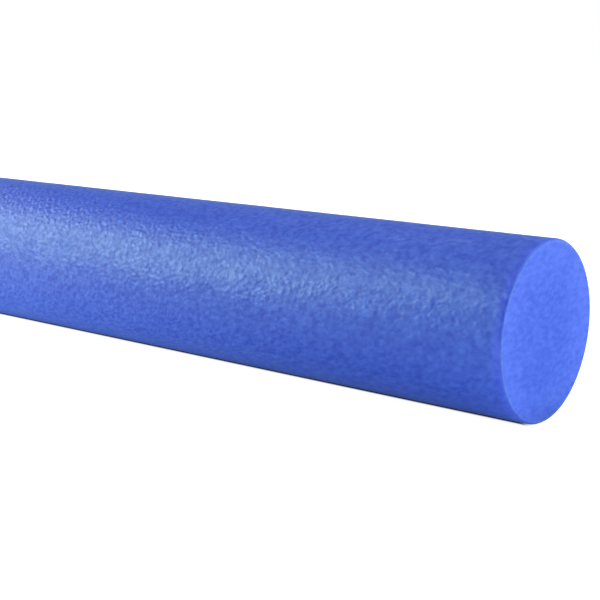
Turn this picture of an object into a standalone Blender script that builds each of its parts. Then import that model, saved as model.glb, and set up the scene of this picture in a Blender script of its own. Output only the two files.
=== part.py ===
"""Solid foam pool noodle, lying along X on the surface that it rests on.

A noodle is extruded as one round rod. Where the hot foam meets the die it closes up into a
denser, finer skin, and inside that it stays a light, springy core of coarser cells. The rod is
cut to length with a knife, so both ends are flat and show the core inside the edge of the skin,
and the skin's outer corner is left slightly rounded.

Frame: metres, +Z up, +X along the noodle. The origin is under the middle of the noodle, on the
surface that it lies on.
"""
import math

import bpy
from mathutils import Matrix

# Overall sizes
NOODLE_LENGTH = 1.500
NOODLE_DIAMETER = 0.065

# The skin's wall, and the rounding that the knife leaves on its outer corner.
# The rounding may take up most of the wall, but never all of it.
SKIN_THICKNESS = 0.0015
RIM_RADIUS = 0.0008
RIM_WALL_SHARE = 0.9

# Clearance all round between the core and the skin
SEAT_GAP = 0.0003

# Fineness of the turned surfaces. Points nearer each other than a small share of the seat gap
# are one point, which closes each turned surface where its last step meets its first.
ROUND_STEPS = 64
RIM_STEPS = 5
MERGE_GAP_SHARE = 0.03
SHARP_ANGLE = math.radians(35)

# Looks of the two foams: linear colour and roughness
CORE_COLOUR = (0.102, 0.192, 0.860, 1)
CORE_ROUGHNESS = 0.92
SKIN_COLOUR = (0.063, 0.120, 0.560, 1)
SKIN_ROUGHNESS = 0.62


def clear_scene():
    """Start from an empty scene."""
    for item in list(bpy.data.objects):
        bpy.data.objects.remove(item, do_unlink=True)


def foam_material(name, colour, roughness):
    """A dull, non-metallic foam of one colour."""
    material = bpy.data.materials.new(name)
    material.use_nodes = True
    shader = material.node_tree.nodes["Principled BSDF"]
    shader.inputs["Base Color"].default_value = colour
    shader.inputs["Roughness"].default_value = roughness
    shader.inputs["Metallic"].default_value = 0
    material.diffuse_color = colour
    return material


def noodle_axis(collection):
    """An empty on the noodle's centre line, whose own Z runs along the noodle.

    It is turned half a facet about that line, so that a flat of each turned piece lies
    underneath and the noodle rests on it without rolling.
    """
    axis = bpy.data.objects.new("noodle_axis", None)
    axis.empty_display_size = NOODLE_DIAMETER
    collection.objects.link(axis)
    lift = Matrix.Translation((0, 0, NOODLE_DIAMETER / 2))
    lay_along_x = Matrix.Rotation(math.pi / 2, 4, "Y")
    flat_underneath = Matrix.Rotation(math.pi / ROUND_STEPS, 4, "Z")
    axis.matrix_world = lift @ lay_along_x @ flat_underneath
    return axis


def core_profile():
    """Half section of the core, as radius and height, from one end's centre to the other's."""
    radius = NOODLE_DIAMETER / 2 - SKIN_THICKNESS - SEAT_GAP
    end = NOODLE_LENGTH / 2
    return [(0, end), (radius, end), (radius, -end), (0, -end)]


def skin_profile():
    """Section of the skin's wall, as radius and height, down its outer side and back inside.

    Each end has a flat land next to the core and a quarter round on the outer corner.
    """
    outer = NOODLE_DIAMETER / 2
    inner = outer - SKIN_THICKNESS
    end = NOODLE_LENGTH / 2
    rim = min(RIM_RADIUS, SKIN_THICKNESS * RIM_WALL_SHARE)

    upper_round = []
    for step in range(RIM_STEPS + 1):
        angle = math.pi / 2 * (1 - step / RIM_STEPS)
        radius = outer - rim + rim * math.cos(angle)
        height = end - rim + rim * math.sin(angle)
        upper_round.append((radius, height))
    lower_round = [(radius, -height) for radius, height in reversed(upper_round)]

    return [(inner, end)] + upper_round + lower_round + [(inner, -end)]


def turned_piece(name, profile, closed, material, axis, collection):
    """Turn a profile about the noodle's axis, with its flats at the profile's own radii."""
    flats_to_corners = 1 / math.cos(math.pi / ROUND_STEPS)
    points = [(radius * flats_to_corners, 0, height) for radius, height in profile]
    edges = [(index, index + 1) for index in range(len(points) - 1)]
    if closed:
        edges.append((len(points) - 1, 0))
    outline = bpy.data.meshes.new(name + "_outline")
    outline.from_pydata(points, edges, [])

    piece = bpy.data.objects.new(name, outline)
    collection.objects.link(piece)
    screw = piece.modifiers.new("Turn", "SCREW")
    screw.axis = "Z"
    screw.angle = math.tau
    screw.steps = ROUND_STEPS
    screw.render_steps = ROUND_STEPS
    screw.use_merge_vertices = True
    screw.merge_threshold = SEAT_GAP * MERGE_GAP_SHARE

    depsgraph = bpy.context.evaluated_depsgraph_get()
    turned = bpy.data.meshes.new_from_object(piece.evaluated_get(depsgraph))
    piece.modifiers.clear()
    piece.data = turned
    bpy.data.meshes.remove(outline)
    turned.name = name
    turned.shade_smooth()
    turned.set_sharp_from_angle(angle=SHARP_ANGLE)
    turned.materials.clear()
    turned.materials.append(material)
    piece.parent = axis
    return piece


def build_noodle():
    """Make the core and the skin round it, on one axis."""
    clear_scene()
    collection = bpy.data.collections.new("pool_noodle")
    bpy.context.scene.collection.children.link(collection)
    axis = noodle_axis(collection)

    core_foam = foam_material("core_foam", CORE_COLOUR, CORE_ROUGHNESS)
    skin_foam = foam_material("skin_foam", SKIN_COLOUR, SKIN_ROUGHNESS)
    turned_piece("foam_core", core_profile(), False, core_foam, axis, collection)
    turned_piece("outer_skin", skin_profile(), True, skin_foam, axis, collection)
    bpy.context.view_layer.update()


build_noodle()
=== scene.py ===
"""Looks of a solid blue foam pool noodle: its grained skin, its cut ends, and a pale studio.

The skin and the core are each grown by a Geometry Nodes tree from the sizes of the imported
solids, then turned into plain meshes. All lengths are in metres.
"""
import math

import bpy
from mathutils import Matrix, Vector


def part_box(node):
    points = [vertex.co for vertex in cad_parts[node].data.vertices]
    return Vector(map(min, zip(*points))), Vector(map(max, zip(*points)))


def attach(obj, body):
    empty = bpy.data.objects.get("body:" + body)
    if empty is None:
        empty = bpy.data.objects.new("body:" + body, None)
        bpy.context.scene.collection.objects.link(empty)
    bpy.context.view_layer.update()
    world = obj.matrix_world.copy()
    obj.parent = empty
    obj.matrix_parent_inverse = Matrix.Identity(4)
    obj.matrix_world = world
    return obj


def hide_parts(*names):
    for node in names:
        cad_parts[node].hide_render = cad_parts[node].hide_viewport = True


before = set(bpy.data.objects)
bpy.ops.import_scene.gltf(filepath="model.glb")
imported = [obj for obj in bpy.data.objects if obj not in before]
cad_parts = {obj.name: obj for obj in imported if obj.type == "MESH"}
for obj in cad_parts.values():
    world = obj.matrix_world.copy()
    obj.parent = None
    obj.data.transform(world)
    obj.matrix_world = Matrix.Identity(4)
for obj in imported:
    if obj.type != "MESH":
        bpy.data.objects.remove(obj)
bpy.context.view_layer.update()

MM = 0.001

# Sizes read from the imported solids
SKIN_LOW, SKIN_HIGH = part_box("outer_skin")
LENGTH = SKIN_HIGH.x - SKIN_LOW.x
DIAMETER = SKIN_HIGH.z - SKIN_LOW.z
RADIUS = DIAMETER / 2
AXIS_HEIGHT = SKIN_LOW.z + RADIUS
NEAR_END = Vector((SKIN_HIGH.x, 0, AXIS_HEIGHT))

# The skin's wall and the rounding on its cut corner, as the solids have them, and the gap that
# is left round the core
SKIN_WALL = 1.5 * MM
RIM_RADIUS = 0.8 * MM
CORE_CLEARANCE = 0.03 * MM

# Grain of the skin: how far apart the marks of each kind are, how high they stand, and how far
# they are drawn out along each axis
BEAD_SIZE = 1.6 * MM
BEAD_HEIGHT = 0.145 * MM
PEBBLE_SIZE = 1.75 * MM
PEBBLE_HEIGHT = 0.205 * MM
KNOB_SIZE = 3.0 * MM
KNOB_HEIGHT = 0.165 * MM
LUMP_SIZE = 3.4 * MM
GLOSS_PATCH_SIZE = 9.0 * MM
TONE_PATCH_SIZE = 26.0 * MM
SKIN_STRETCH = (1.3, 1.0, 1.0)

# Strength of that grain: the fine marks at a cut and further along, the lumps further along, and
# all of it right underneath
FINE_AT_CUT = 0.53
FINE_ALONG = 1.08
LUMPS_ALONG = 0.32
PRESSED = 0.35

# Grain of the cut foam, the cups that the knife opens in it, how far both are dragged out along
# each axis, and how far from the noodle's axis the foam starts to pale towards the skin
CUT_GRAIN_SIZE = 1.7 * MM
CUT_GRAIN_HEIGHT = 0.34 * MM
CUT_CLOUD_SIZE = 7.5 * MM
CUT_STRETCH = (1.0, 2.1, 1.0)
CUP_STRETCH = (1.0, 1.8, 1.0)
CUT_PALER_START = 0.30 * RADIUS

# How far from a cut the skin still shows it: in its grain, its scuffs, a brighter blue of painted
# light, and the colour of cut foam on its corner. The last two have an uneven border.
SOFT_REACH = 190 * MM
SCUFF_START = 2 * MM
SCUFF_REACH = 16 * MM
EDGE_GLOW_REACH = 4.8 * MM
CORNER_REACH = 0.9 * MM
BORDER_SIZE = 5 * MM
BORDER_WANDER = 0.8 * MM

# The painted highlight on the lip of that corner, as depths under the skin's surface
LIP_HIGHLIGHT_BOTTOM = 0.35 * MM
LIP_HIGHLIGHT_TOP = 0.05 * MM

# Linear colours: the skin, whose pale and deep tones are partly painted highlight on its pebble
# tops and painted shade between them; the skin close to a cut, a brighter blue of painted light;
# the lip of the cut, a painted highlight; and the cut foam. The gloss is a pale green, and the fuzz
# at grazing angles a pale blue.
SKIN_DEEP = (0.000, 0.028, 0.585, 1)
SKIN_PALE = (0.043, 0.128, 0.800, 1)
EDGE_GLOW_DEEP = (0.010, 0.044, 0.730, 1)
EDGE_GLOW_PALE = (0.056, 0.112, 0.940, 1)
LIP_HIGHLIGHT = (0.056, 0.116, 0.700, 1)
CUT_DEEP = (0.018, 0.057, 0.510, 1)
CUT_PALE = (0.055, 0.112, 0.640, 1)
GLOSS_TINT = (0.59, 0.94, 0.58, 1)
FUZZ_TINT = (0.45, 0.85, 1.00, 1)
WHITE = (1, 1, 1, 1)

# Roughness in the skin's pits and on its tops, what scuffs add, how far patches differ, and the
# roughness of cut foam
PIT_ROUGHNESS = 0.40
TOP_ROUGHNESS = 0.33
SCUFF_ROUGHNESS = 0.12
PATCH_ROUGHNESS = 0.050
CUT_ROUGHNESS = 0.75

# The camera, worked out from the noodle's outline in the photograph: its focal length in the
# photograph's pixels, its place in radii from the near end, and the way that it looks
PHOTO_PIXELS = 600
FOCAL_PIXELS = 1272.6
SENSOR_WIDTH = 36.0
CAMERA_PLACE = Vector((6.1584, -11.8822, 3.0990))
CAMERA_FORWARD = Vector((-0.6122, 0.7636, -0.2052))

# The studio's fill, and the light that the floor throws back along the noodle, beside its near
# end and past it. Close to the noodle that light is blue, because it came from the noodle.
FILL_LIGHT = 0.20
GLOW_ALONG = 0.84
GLOW_BESIDE_END = 0.33
GLOW_PAST_END = 0.90
GLOW_TINT = (0.98, 0.97, 1.00, 1)
GLOW_CLOSE_TINT = (0.66, 1.14, 1.60, 1)

# Lengths of floor over which that light changes, up to the near end and past it
BESIDE_END_REACH = 400 * MM
PAST_END_REACH = 25 * MM

# How far aside from the noodle's axis the floor's shade starts, and where the deep part of it and
# the whole of it end. Where the noodle touches the floor is a painted shadow: a dark line with a
# soft border.
SHADE_START = 0.1 * RADIUS
DEEP_SHADE_END = 0.7 * RADIUS
SHADE_END = 2.0 * RADIUS
CONTACT_SHADOW_BORDER_START = 0.185 * RADIUS
CONTACT_SHADOW_BORDER_END = 0.24 * RADIUS

# The floor's size, its paint and the paint of the painted shadow where the noodle touches it, and
# how bright the camera sees it beside the noodle, a little dimmer there as painted shade, and far
# from it
FLOOR_SIZE = 12
FLOOR_PAINT = 0.50
CONTACT_SHADOW_PAINT = 0.04
BRIGHT_IN_PAINTED_SHADE = 0.95
BRIGHT_FAR = 1.03
FAR_ASIDE = 12.0 * RADIUS

# The dome that some of the lamps stand on, over the noodle's middle
DOME_MIDDLE = Vector((0, 0, 0.05))
DOME_RADIUS = 1.7


def fill(tree, node, inputs):
    """Fill a node's inputs with sockets or plain values."""
    for key, value in inputs.items():
        if isinstance(value, bpy.types.NodeSocket):
            tree.links.new(value, node.inputs[key])
        else:
            node.inputs[key].default_value = value


def put(tree, kind, inputs=None, **settings):
    """Add a node, make its settings, and fill its inputs."""
    node = tree.nodes.new(kind)
    node.location = (len(tree.nodes) * 190, 0)
    for name, value in settings.items():
        setattr(node, name, value)
    fill(tree, node, inputs or {})
    return node


def maths(tree, operation, *values):
    """One Math node on one to three values, and its result."""
    return put(tree, "ShaderNodeMath", dict(enumerate(values)), operation=operation).outputs[0]


def vector_maths(tree, operation, *vectors, result="Vector"):
    """One Vector Math node on one or two vectors, and its result."""
    node = put(tree, "ShaderNodeVectorMath", dict(enumerate(vectors)), operation=operation)
    return node.outputs[result]


def parts_of(tree, place):
    """The X, Y and Z of a place."""
    return put(tree, "ShaderNodeSeparateXYZ", {0: place}).outputs


def vector_of(tree, **parts):
    """A vector with these parts, and 0 for the rest."""
    return put(tree, "ShaderNodeCombineXYZ", parts).outputs[0]


def smooth_step(tree, value, start, end, low=0.0, high=1.0):
    """low up to start, high from end on, and a smooth passage between them."""
    inputs = {"Value": value, "From Min": start, "From Max": end, "To Min": low, "To Max": high}
    return put(tree, "ShaderNodeMapRange", inputs, interpolation_type="SMOOTHSTEP").outputs["Result"]


def between(tree, share, first, second):
    """The number that lies this share of the way from the first to the second."""
    return maths(tree, "MULTIPLY_ADD", share, maths(tree, "SUBTRACT", second, first), first)


def weighted_sum(tree, *terms):
    """Add up values, each times its weight."""
    total = 0.0
    for value, weight in terms:
        total = maths(tree, "MULTIPLY_ADD", value, weight, total)
    return total


def drawn_out(tree, place, along):
    """The same place in a pattern that is drawn out along each axis by these amounts."""
    return vector_maths(tree, "MULTIPLY", place, tuple(1.0 / amount for amount in along))


def out_from_axis(tree, place, axis_height):
    """The way from the noodle's axis to a place, square to the axis, and how far that is."""
    parts = parts_of(tree, place)
    out = vector_of(tree, Y=parts["Y"], Z=maths(tree, "SUBTRACT", parts["Z"], axis_height))
    return out, vector_maths(tree, "LENGTH", out, result="Value")


def new_tree(name, sizes):
    """A Geometry Nodes tree with named inputs. sizes gives each input's kind of socket."""
    tree = bpy.data.node_groups.new(name, "GeometryNodeTree")
    for label, kind in sizes.items():
        tree.interface.new_socket(label, in_out="INPUT", socket_type=kind)
    tree.interface.new_socket("Geometry", in_out="OUTPUT", socket_type="NodeSocketGeometry")
    return tree, put(tree, "NodeGroupInput").outputs


def finish_tree(tree, geometry, material):
    """Keep sharp folds crisp, realize everything, and give it its material."""
    sharp = math.radians(40)
    fold = put(tree, "GeometryNodeInputMeshEdgeAngle").outputs["Unsigned Angle"]
    crisp = put(tree, "FunctionNodeCompare", {0: fold, 1: sharp}, operation="GREATER_THAN")
    smooth = put(tree, "GeometryNodeSetShadeSmooth", {"Geometry": geometry}, domain="FACE")
    soft = put(tree, "FunctionNodeBooleanMath", {0: crisp.outputs["Result"]}, operation="NOT")
    edged = put(tree, "GeometryNodeSetShadeSmooth",
                {"Geometry": smooth.outputs[0], "Shade Smooth": soft.outputs[0]}, domain="EDGE")
    real = put(tree, "GeometryNodeRealizeInstances", {"Geometry": edged.outputs[0]})
    painted = put(tree, "GeometryNodeSetMaterial", {"Geometry": real.outputs[0], "Material": material})
    put(tree, "NodeGroupOutput", {"Geometry": painted.outputs[0]})


def grow(name, tree, values):
    """Run a tree once with these inputs, and return the result as a plain mesh object."""
    seed = bpy.data.objects.new(name + "_seed", bpy.data.meshes.new(name + "_seed"))
    bpy.context.scene.collection.objects.link(seed)
    modifier = seed.modifiers.new("Grow", "NODES")
    modifier.node_group = tree
    for item in tree.interface.items_tree:
        if item.in_out == "INPUT":
            modifier[item.identifier] = values[item.name]
    grown = seed.evaluated_get(bpy.context.evaluated_depsgraph_get())
    mesh = bpy.data.meshes.new_from_object(grown)
    mesh.name = name
    mesh.materials.clear()
    mesh.materials.append(values["Material"])
    piece = bpy.data.objects.new(name, mesh)
    bpy.context.scene.collection.objects.link(piece)
    bpy.data.objects.remove(seed)
    return piece


def seeded_noise(tree, place, size, seed, roughness):
    """Soft noise about 0.5 for a Geometry Nodes tree, whose inputs give its size and seed."""
    inputs = {"Vector": place, "W": seed, "Scale": maths(tree, "DIVIDE", 1.0, size),
              "Detail": 2.0, "Roughness": roughness}
    return put(tree, "ShaderNodeTexNoise", inputs, noise_dimensions="4D").outputs["Fac"]


def skin_tree():
    """The skin: its section swept round the noodle, with an outside that swells a little."""
    tree, size = new_tree("grow_skin", {
        "Length": "NodeSocketFloat",
        "Diameter": "NodeSocketFloat",
        "Axis Height": "NodeSocketFloat",
        "Wall": "NodeSocketFloat",
        "Rim Radius": "NodeSocketFloat",
        "Rim Steps": "NodeSocketInt",
        "Steps Along": "NodeSocketInt",
        "Steps Around": "NodeSocketInt",
        "Swell Height": "NodeSocketFloat",
        "Swell Size": "NodeSocketFloat",
        "Ragged Depth": "NodeSocketFloat",
        "Ragged Size": "NodeSocketFloat",
        "Seed": "NodeSocketFloat",
        "Material": "NodeSocketMaterial",
    })
    half_wall = maths(tree, "MULTIPLY", size["Wall"], 0.5)
    half_length = maths(tree, "MULTIPLY", size["Length"], 0.5)
    outer_radius = maths(tree, "MULTIPLY", size["Diameter"], 0.5)

    # Section of the wall: a long slip whose outer side is cut into short steps
    section = put(tree, "GeometryNodeCurvePrimitiveQuadrilateral",
                  {"Width": size["Wall"], "Height": size["Length"]}, mode="RECTANGLE")
    index = put(tree, "GeometryNodeInputIndex").outputs[0]
    outer_side = put(tree, "FunctionNodeCompare", {2: index, 3: 3},
                     data_type="INT", operation="EQUAL").outputs["Result"]
    cuts = maths(tree, "MULTIPLY", outer_side, size["Steps Along"])
    stepped = put(tree, "GeometryNodeSubdivideCurve", {"Curve": section.outputs[0], "Cuts": cuts})

    # The two outer corners are rounded
    place = put(tree, "GeometryNodeInputPosition").outputs[0]
    across = parts_of(tree, place)
    beyond = maths(tree, "SUBTRACT", half_length, size["Rim Radius"])
    at_end = maths(tree, "GREATER_THAN", maths(tree, "ABSOLUTE", across["Y"]), beyond)
    at_outside = maths(tree, "GREATER_THAN", across["X"], 0.0)
    corner = maths(tree, "MULTIPLY", at_end, at_outside)
    corner_radius = maths(tree, "MULTIPLY", corner, size["Rim Radius"])
    rounded = put(tree, "GeometryNodeFilletCurve",
                  {"Curve": stepped.outputs[0], "Radius": corner_radius, "Count": size["Rim Steps"],
                   "Limit Radius": True}, mode="POLY")

    # Swept round the axis, then laid along X
    sweep_radius = maths(tree, "SUBTRACT", outer_radius, half_wall)
    ring = put(tree, "GeometryNodeCurvePrimitiveCircle",
               {"Resolution": size["Steps Around"], "Radius": sweep_radius}, mode="RADIUS")
    tube = put(tree, "GeometryNodeCurveToMesh",
               {"Curve": ring.outputs["Curve"], "Profile Curve": rounded.outputs[0]})
    laid = put(tree, "GeometryNodeTransform",
               {"Geometry": tube.outputs[0], "Translation": vector_of(tree, Z=size["Axis Height"]),
                "Rotation": (0.0, math.pi / 2, 0.0)})

    # The outside sinks inwards by an uneven amount, and the inside stays true
    place = put(tree, "GeometryNodeInputPosition").outputs[0]
    out, distance = out_from_axis(tree, place, size["Axis Height"])
    outward = vector_maths(tree, "NORMALIZE", out)
    inner_edge = maths(tree, "SUBTRACT", outer_radius, size["Rim Radius"])
    on_outside = smooth_step(tree, distance, inner_edge, outer_radius)
    swell = seeded_noise(tree, place, size["Swell Size"], size["Seed"], roughness=0.55)
    sink = maths(tree, "MULTIPLY", maths(tree, "MULTIPLY", swell, on_outside), size["Swell Height"])
    sink = maths(tree, "MULTIPLY", sink, -1.0)
    inward = put(tree, "ShaderNodeVectorMath", {0: outward, "Scale": sink}, operation="SCALE")
    uneven = put(tree, "GeometryNodeSetPosition",
                 {"Geometry": laid.outputs[0], "Offset": inward.outputs[0]})

    # The knife leaves the rounded corners a little ragged
    along = parts_of(tree, place)["X"]
    near_corner = maths(tree, "SUBTRACT", beyond, size["Rim Radius"])
    at_corner = smooth_step(tree, maths(tree, "ABSOLUTE", along), near_corner, half_length)
    ragged = seeded_noise(tree, place, size["Ragged Size"], size["Seed"], roughness=0.5)
    bite = maths(tree, "MULTIPLY", maths(tree, "MULTIPLY", ragged, at_corner), size["Ragged Depth"])
    bite = maths(tree, "MULTIPLY", maths(tree, "MULTIPLY", bite, on_outside), maths(tree, "SIGN", along))
    back = vector_of(tree, X=maths(tree, "MULTIPLY", bite, -1.0))
    trimmed = put(tree, "GeometryNodeSetPosition", {"Geometry": uneven.outputs[0], "Offset": back})
    finish_tree(tree, trimmed.outputs[0], size["Material"])
    return tree


def core_tree():
    """The core: a finely gridded block drawn out to a round bar, its ends pitted by cut cells."""
    tree, size = new_tree("grow_core", {
        "Length": "NodeSocketFloat",
        "Diameter": "NodeSocketFloat",
        "Axis Height": "NodeSocketFloat",
        "Steps Across": "NodeSocketInt",
        "Cell Size": "NodeSocketFloat",
        "Cell Depth": "NodeSocketFloat",
        "Material": "NodeSocketMaterial",
    })
    block_size = vector_of(tree, X=size["Length"], Y=size["Diameter"], Z=size["Diameter"])
    block = put(tree, "GeometryNodeMeshCube",
                {"Size": block_size, "Vertices X": 2, "Vertices Y": size["Steps Across"],
                 "Vertices Z": size["Steps Across"]})

    # Each square ring of the block becomes a round one of the same width
    place = put(tree, "GeometryNodeInputPosition").outputs[0]
    parts = parts_of(tree, place)
    reach = out_from_axis(tree, place, 0.0)[1]
    half_side = maths(tree, "MAXIMUM", maths(tree, "ABSOLUTE", parts["Y"]),
                      maths(tree, "ABSOLUTE", parts["Z"]))
    almost_nothing = 1e-9
    draw_in = maths(tree, "DIVIDE", half_side, maths(tree, "MAXIMUM", reach, almost_nothing))
    round_place = vector_of(tree, X=parts["X"], Y=maths(tree, "MULTIPLY", parts["Y"], draw_in),
                            Z=maths(tree, "MULTIPLY", parts["Z"], draw_in))
    bar = put(tree, "GeometryNodeSetPosition", {"Geometry": block.outputs[0], "Position": round_place})

    # The knife opens the cells: each is a shallow cup between thin walls
    place = put(tree, "GeometryNodeInputPosition").outputs[0]
    fineness = maths(tree, "DIVIDE", 1.0, size["Cell Size"])
    walls = put(tree, "ShaderNodeTexVoronoi",
                {"Vector": drawn_out(tree, place, CUP_STRETCH), "Scale": fineness},
                feature="DISTANCE_TO_EDGE").outputs["Distance"]
    cup = smooth_step(tree, walls, 0.0, 0.35)
    rim = maths(tree, "MULTIPLY", size["Diameter"], 0.5)
    in_from_rim = maths(tree, "SUBTRACT", rim, out_from_axis(tree, place, 0.0)[1])
    inside = smooth_step(tree, in_from_rim, 0.0, size["Cell Size"])
    depth = maths(tree, "MULTIPLY", maths(tree, "MULTIPLY", cup, inside), size["Cell Depth"])
    side = maths(tree, "SIGN", parts_of(tree, place)["X"])
    dent = maths(tree, "MULTIPLY", maths(tree, "MULTIPLY", depth, side), -1.0)
    pitted = put(tree, "GeometryNodeSetPosition",
                 {"Geometry": bar.outputs[0], "Offset": vector_of(tree, X=dent)})
    laid = put(tree, "GeometryNodeTransform",
               {"Geometry": pitted.outputs[0], "Translation": vector_of(tree, Z=size["Axis Height"])})
    finish_tree(tree, laid.outputs[0], size["Material"])
    return tree


def new_material(name):
    """A material with its Principled shader, and its Object coordinates in metres."""
    material = bpy.data.materials.new(name)
    material.use_nodes = True
    tree = material.node_tree
    shader = tree.nodes["Principled BSDF"]
    place = put(tree, "ShaderNodeTexCoord").outputs["Object"]
    return material, tree, shader, place


def noise(tree, place, size, detail=0.0, roughness=0.5):
    """Soft noise about 0.5, whose lumps repeat about once in each size."""
    inputs = {"Vector": place, "Scale": 1.0 / size, "Detail": detail, "Roughness": roughness}
    return put(tree, "ShaderNodeTexNoise", inputs).outputs["Fac"]


def beads(tree, place, size):
    """Round bead tops between 0 and 1, packed about one size apart, with pits between them."""
    inputs = {"Vector": place, "Scale": 1.0 / size, "Smoothness": 0.6, "Randomness": 1.0}
    reach = put(tree, "ShaderNodeTexVoronoi", inputs, feature="SMOOTH_F1").outputs["Distance"]
    return smooth_step(tree, reach, 0.0, 0.8, low=1.0, high=0.0)


def about_zero(tree, pattern, strength=1.0):
    """A pattern whose middle is 0.5, moved to run about 0, times its strength."""
    return maths(tree, "MULTIPLY", maths(tree, "SUBTRACT", pattern, 0.5), strength)


def spread(tree, pattern, low, high):
    """Stretch a pattern whose middle is 0.5 to run from low to high."""
    return put(tree, "ShaderNodeMapRange",
               {"Value": pattern, "From Min": 0.3, "From Max": 0.7, "To Min": low, "To Max": high},
               clamp=False).outputs["Result"]


def blend(tree, share, first, second):
    """Mix two colours by a share between 0 and 1."""
    node = put(tree, "ShaderNodeMix", {0: share, 6: first, 7: second}, data_type="RGBA")
    return node.outputs[2]


def add_relief(tree, shader, height):
    """Give a shader's surface a relief of this height, in metres."""
    relief = put(tree, "ShaderNodeBump", {"Height": height, "Strength": 1.0, "Distance": 1.0})
    fill(tree, shader, {"Normal": relief.outputs[0]})


def cut_face(tree, place):
    """Colour and relief of foam that a knife has cut: fine cells, dragged open sideways.

    The foam is a little paler towards the skin.
    """
    dragged = drawn_out(tree, place, CUT_STRETCH)
    cell = noise(tree, dragged, CUT_GRAIN_SIZE, detail=1.0, roughness=0.6)
    cloud = noise(tree, dragged, CUT_CLOUD_SIZE, detail=1.0)
    distance = out_from_axis(tree, place, AXIS_HEIGHT)[1]
    outer = about_zero(tree, smooth_step(tree, distance, CUT_PALER_START, RADIUS))
    tone = weighted_sum(tree, (cloud, 0.30), (cell, 0.70), (outer, 0.19))
    colour = blend(tree, spread(tree, tone, 0.0, 1.0), CUT_DEEP, CUT_PALE)
    return colour, about_zero(tree, cell, CUT_GRAIN_HEIGHT)


def skin_foam_material():
    """The die-formed skin: finely pebbled, uneven in tone, with a soft sheen."""
    material, tree, shader, place = new_material("skin_foam")
    parts = parts_of(tree, place)
    from_end = maths(tree, "SUBTRACT", LENGTH / 2, maths(tree, "ABSOLUTE", parts["X"]))

    # The foam left the die soft, so its pattern bows back where it dragged on the rollers below
    below = maths(tree, "MAXIMUM", maths(tree, "SUBTRACT", AXIS_HEIGHT, parts["Z"]), 0.0)
    bow = maths(tree, "MULTIPLY", maths(tree, "MULTIPLY", below, below), 1.0 / RADIUS)
    bowed = vector_maths(tree, "ADD", place, vector_of(tree, X=bow))
    drawn = drawn_out(tree, bowed, SKIN_STRETCH)

    # Near a cut the fine marks are softer and the lumps show more, and right underneath the
    # rollers pressed all of them smoother
    inwards = smooth_step(tree, from_end, 0.0, SOFT_REACH)
    pressed = smooth_step(tree, parts["Z"], 0.03 * DIAMETER, 0.25 * DIAMETER, low=PRESSED)
    fine = maths(tree, "MULTIPLY", between(tree, inwards, FINE_AT_CUT, FINE_ALONG), pressed)
    lumpy = between(tree, maths(tree, "MULTIPLY", inwards, inwards), 1.0, LUMPS_ALONG)
    lumpy = maths(tree, "MULTIPLY", lumpy, pressed)

    # Beads and pebbles, drawn out a little along the noodle, the knobs and lumps that they
    # gather into, and broad patches
    bead = about_zero(tree, beads(tree, drawn, BEAD_SIZE), fine)
    pebble = about_zero(tree, noise(tree, drawn, PEBBLE_SIZE, detail=1.0, roughness=0.6), fine)
    knob = about_zero(tree, noise(tree, bowed, KNOB_SIZE), lumpy)
    lump = about_zero(tree, noise(tree, bowed, LUMP_SIZE, detail=1.0, roughness=0.6), lumpy)
    patch = about_zero(tree, noise(tree, drawn, TONE_PATCH_SIZE, detail=1.0))

    # Tone: grain that differs at random, and also painted highlight as pale spots on the tops of
    # the pebbles and painted shade deeper between them
    tone = weighted_sum(tree, (lump, 0.36), (pebble, 0.62), (patch, 0.06))
    tone = put(tree, "ShaderNodeMapRange",
               {"Value": tone, "From Min": -0.105, "From Max": 0.18}).outputs["Result"]
    foam = blend(tree, tone, SKIN_DEEP, SKIN_PALE)

    # Painted light: the last few millimetres before the cut are painted a brighter blue, with an
    # uneven border
    border = noise(tree, place, BORDER_SIZE, detail=2.0, roughness=0.6)
    wander = spread(tree, border, -BORDER_WANDER, BORDER_WANDER)
    clear = smooth_step(tree, maths(tree, "ADD", from_end, wander), 0.0, EDGE_GLOW_REACH,
                        low=1.0, high=0.0)
    foam = blend(tree, clear, foam, blend(tree, tone, EDGE_GLOW_DEEP, EDGE_GLOW_PALE))

    # The corner shows cut foam, with a painted highlight on its lip
    cut_colour, cut_height = cut_face(tree, place)
    distance = out_from_axis(tree, place, AXIS_HEIGHT)[1]
    lip_highlight = smooth_step(tree, distance, RADIUS - LIP_HIGHLIGHT_BOTTOM, RADIUS - LIP_HIGHLIGHT_TOP)
    cut_colour = blend(tree, lip_highlight, cut_colour, LIP_HIGHLIGHT)
    ragged = maths(tree, "MULTIPLY_ADD", wander, 0.4, from_end)
    corner = smooth_step(tree, ragged, 0.0, CORNER_REACH, low=1.0, high=0.0)
    foam = blend(tree, corner, foam, cut_colour)

    # The pressed tops are glossier than the pits, some patches are glossier than others, and the
    # skin close to a cut is scuffed
    scuffs = smooth_step(tree, from_end, SCUFF_START, SCUFF_REACH, low=SCUFF_ROUGHNESS, high=0.0)
    rough = maths(tree, "ADD", spread(tree, tone, PIT_ROUGHNESS, TOP_ROUGHNESS), scuffs)
    patches = noise(tree, drawn, GLOSS_PATCH_SIZE, detail=1.0)
    rough = maths(tree, "ADD", rough, spread(tree, patches, -PATCH_ROUGHNESS, PATCH_ROUGHNESS))
    rough = between(tree, maths(tree, "MULTIPLY", corner, corner), rough, CUT_ROUGHNESS)

    height = weighted_sum(tree, (bead, BEAD_HEIGHT), (pebble, PEBBLE_HEIGHT), (knob, KNOB_HEIGHT))
    add_relief(tree, shader, between(tree, corner, height, cut_height))
    fill(tree, shader, {
        "Base Color": foam,
        "Roughness": rough,
        "IOR": 1.55,
        "Specular IOR Level": 1.0,
        "Specular Tint": GLOSS_TINT,
        "Sheen Weight": 0.15,
        "Sheen Tint": FUZZ_TINT,
        "Sheen Roughness": 0.35,
    })
    return material


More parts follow.
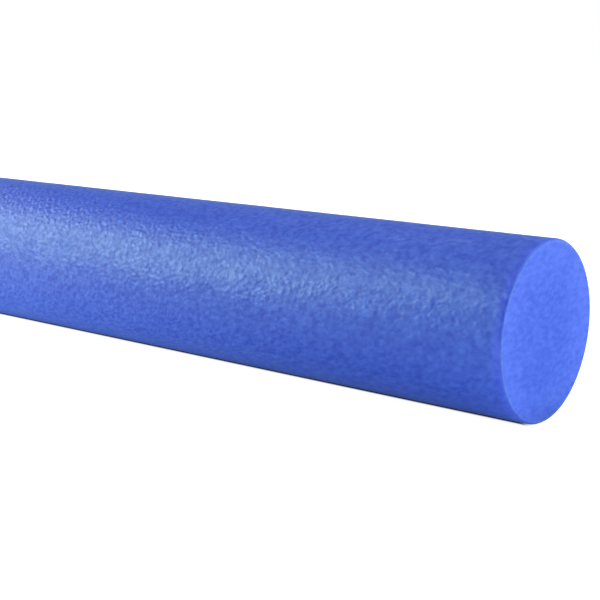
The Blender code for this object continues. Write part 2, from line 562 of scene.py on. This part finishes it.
def core_foam_material():
    """The cut face of the core: bright, dull foam with fine cells opened by the knife."""
    material, tree, shader, place = new_material("core_foam")
    colour, height = cut_face(tree, place)
    add_relief(tree, shader, height)
    fill(tree, shader, {
        "Base Color": colour,
        "Roughness": CUT_ROUGHNESS,
        "Specular IOR Level": 0.76,
        "Specular Tint": GLOSS_TINT,
    })
    return material


def set_camera():
    """The camera of the photograph."""
    camera_data = bpy.data.cameras.new("camera")
    camera_data.sensor_width = SENSOR_WIDTH
    camera_data.lens = SENSOR_WIDTH * FOCAL_PIXELS / PHOTO_PIXELS
    camera_data.clip_start = 0.01
    camera_data.clip_end = 50
    camera = bpy.data.objects.new("camera", camera_data)
    bpy.context.scene.collection.objects.link(camera)
    camera.location = NEAR_END + RADIUS * CAMERA_PLACE
    camera.rotation_euler = CAMERA_FORWARD.to_track_quat("-Z", "Y").to_euler()
    bpy.context.scene.camera = camera


def add_floor():
    """A plain pale floor under the noodle."""
    bpy.ops.mesh.primitive_plane_add(size=FLOOR_SIZE)
    floor = bpy.context.object
    floor.name = "floor"
    material, tree, shader, place = new_material("floor")
    parts = parts_of(tree, place)
    aside = maths(tree, "ABSOLUTE", parts["Y"])

    # The light that the floor throws back: less of it in the noodle's shade, but not past its end
    out_of_shade = smooth_step(tree, aside, SHADE_START, SHADE_END)
    out_of_deep = smooth_step(tree, aside, SHADE_START, DEEP_SHADE_END)
    past_end = smooth_step(tree, parts["X"], NEAR_END.x, NEAR_END.x + PAST_END_REACH)
    lit = weighted_sum(tree, (out_of_shade, 0.65), (out_of_deep, 0.35))
    lit = between(tree, past_end, lit, 1.0)
    beside_end = smooth_step(tree, parts["X"], NEAR_END.x - BESIDE_END_REACH, NEAR_END.x)
    level = between(tree, beside_end, GLOW_ALONG, GLOW_BESIDE_END)
    level = between(tree, past_end, level, GLOW_PAST_END)
    thrown = maths(tree, "MULTIPLY", level, lit)
    tint = blend(tree, out_of_shade, GLOW_CLOSE_TINT, GLOW_TINT)

    # What the camera sees: a pale floor, a little dimmer beside the noodle as painted shade, with a
    # painted shadow where the noodle touches it, a dark line that fades out just short of the noodle's
    # ends
    beyond = maths(tree, "SUBTRACT", maths(tree, "ABSOLUTE", parts["X"]), LENGTH / 2)
    shadow_clear_aside = smooth_step(tree, aside, CONTACT_SHADOW_BORDER_START, CONTACT_SHADOW_BORDER_END)
    shadow_clear_along = smooth_step(tree, beyond, -0.20 * RADIUS, -0.04 * RADIUS)
    out_of_contact_shadow = maths(tree, "MAXIMUM", shadow_clear_aside, shadow_clear_along)
    bright = smooth_step(tree, aside, SHADE_END, FAR_ASIDE, low=BRIGHT_IN_PAINTED_SHADE, high=BRIGHT_FAR)
    looks = maths(tree, "MULTIPLY", out_of_contact_shadow, bright)
    paint = between(tree, out_of_contact_shadow, CONTACT_SHADOW_PAINT, FLOOR_PAINT)

    seen = put(tree, "ShaderNodeLightPath").outputs["Is Camera Ray"]
    fill(tree, shader, {
        "Base Color": vector_of(tree, X=paint, Y=paint, Z=paint),
        "Roughness": 1.0,
        "Specular IOR Level": 0.0,
        "Emission Color": blend(tree, seen, tint, WHITE),
        "Emission Strength": between(tree, seen, thrown, looks),
    })
    floor.data.materials.append(material)


def set_world():
    """A white studio: bright to the eye, and a gentle fill everywhere else."""
    world = bpy.data.worlds.new("studio")
    bpy.context.scene.world = world
    world.use_nodes = True
    tree = world.node_tree
    seen = put(tree, "ShaderNodeLightPath").outputs["Is Camera Ray"]
    strength = between(tree, seen, FILL_LIGHT, 1.0)
    fill(tree, tree.nodes["Background"], {"Color": WHITE, "Strength": strength})


def add_softbox(name, place, aim, width, watts):
    """A soft square lamp at a place, aimed at a point."""
    lamp = bpy.data.lights.new(name, "AREA")
    lamp.shape = "SQUARE"
    lamp.size = width
    lamp.energy = watts
    softbox = bpy.data.objects.new(name, lamp)
    bpy.context.scene.collection.objects.link(softbox)
    softbox.location = place
    softbox.rotation_euler = (Vector(aim) - Vector(place)).to_track_quat("-Z", "Y").to_euler()
    softbox.visible_camera = False


def on_dome(around, up):
    """A place on the dome of lamps, by its angles in degrees round the noodle and up."""
    around = math.radians(around)
    up = math.radians(up)
    out = Vector((math.cos(around) * math.cos(up), math.sin(around) * math.cos(up), math.sin(up)))
    return DOME_MIDDLE + DOME_RADIUS * out


def set_lights():
    """Softboxes past both ends of the noodle, on a dome round it, and close over it.

    Each has a name, a place, a point that it aims at, a width, and a power in watts.
    """
    softboxes = (
        ("past_near_end", (1.9, 0.5, 0.6), (0.75, 0, 0.03), 1.1, 19.2),
        ("past_far_end", (-1.9, 0.5, 0.6), (-0.75, 0, 0.03), 1.1, 9.0),
        ("front_left_high", on_dome(210, 35), DOME_MIDDLE, 0.9, 8.8),
        ("front_left_near", (-0.4, -0.9, 0.35), (-0.4, 0, 0.03), 0.6, 4.5),
        ("back_right_top", on_dome(30, 60), DOME_MIDDLE, 0.9, 3.8),
        ("left_high", on_dome(180, 35), DOME_MIDDLE, 0.9, 2.2),
        ("front_high", (0, -0.8, 0.9), (0, 0, 0.03), 0.6, 2.5),
        ("front_left_low", on_dome(210, 12), DOME_MIDDLE, 0.9, 1.6),
        ("over_middle", (0, -0.2, 1.1), (0, 0, 0.03), 0.6, 1.1),
        ("front_low", (0, -0.9, 0.35), (0, 0, 0.03), 0.6, 0.8),
        ("back_top", (0, 0.5, 1.0), (0, 0, 0.03), 0.6, 0.6),
    )
    for name, place, aim, width, watts in softboxes:
        add_softbox(name, place, aim, width, watts)


set_camera()
set_world()
set_lights()
add_floor()
bpy.context.scene.view_settings.view_transform = "Standard"

skin = grow("noodle_skin", skin_tree(), {
    "Length": LENGTH,
    "Diameter": DIAMETER,
    "Axis Height": AXIS_HEIGHT,
    "Wall": SKIN_WALL,
    "Rim Radius": RIM_RADIUS,
    "Rim Steps": 8,
    "Steps Along": 660,
    "Steps Around": 144,
    "Swell Height": 0.15 * MM,
    "Swell Size": 22 * MM,
    "Ragged Depth": 0.6 * MM,
    "Ragged Size": 5 * MM,
    "Seed": 3.0,
    "Material": skin_foam_material(),
})
core = grow("noodle_core", core_tree(), {
    "Length": LENGTH,
    "Diameter": DIAMETER - 2 * SKIN_WALL - 2 * CORE_CLEARANCE,
    "Axis Height": AXIS_HEIGHT,
    "Steps Across": 150,
    "Cell Size": 2.6 * MM,
    "Cell Depth": 0.06 * MM,
    "Material": core_foam_material(),
})
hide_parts("outer_skin")
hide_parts("foam_core")
for piece in (skin, core):
    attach(piece, "root")
